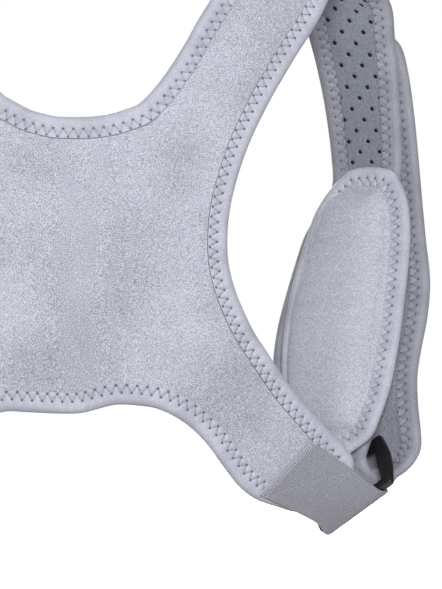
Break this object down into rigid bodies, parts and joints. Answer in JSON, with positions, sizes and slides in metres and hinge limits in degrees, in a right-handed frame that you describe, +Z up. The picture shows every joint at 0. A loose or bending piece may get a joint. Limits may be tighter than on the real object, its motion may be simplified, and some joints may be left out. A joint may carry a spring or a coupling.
{
  "type": "posture corrector",
  "caption": "Soft clavicle brace: a back panel with wide shoulder straps that pad the underarms, pass through plastic rings on elastic bands and fold back up on the outside.",
  "frame": {"origin": "middle of the shoulder line, midway between the two shoulder tops, at the height where the straps rest on the shoulders", "axes": "+Z up as worn, +Y towards the wearer's front, +X towards the wearer's right; X = 0 is the mid plane"},
  "size_m": [0.4568, 0.1449, 0.3884],
  "materials": {
    "panel_cloth": "light grey brushed knit with a fine mottle",
    "strap_cloth": "mid grey knit, perforated on the inside",
    "edge_tape": "smooth light grey tape, zigzag stitched",
    "pad_cloth": "light grey brushed satin knit",
    "elastic": "ribbed warm grey elastic",
    "ring_plastic": "satin black"
  },
  "bodies": {
    "root": {"back_panel": "panel_cloth", "neck_binding": "edge_tape", "hem_binding": "edge_tape", "armhole_binding_right": "edge_tape", "armhole_binding_left": "edge_tape", "shoulder_strap_right": "strap_cloth", "shoulder_strap_left": "strap_cloth", "strap_binding_right": "edge_tape", "strap_binding_left": "edge_tape", "underarm_pad_right": "pad_cloth", "underarm_pad_left": "pad_cloth", "pad_binding_right": "edge_tape", "pad_binding_left": "edge_tape", "webbing_right": "elastic", "webbing_left": "elastic", "ring_right": "ring_plastic", "ring_left": "ring_plastic"}
  },
  "joints": []
}
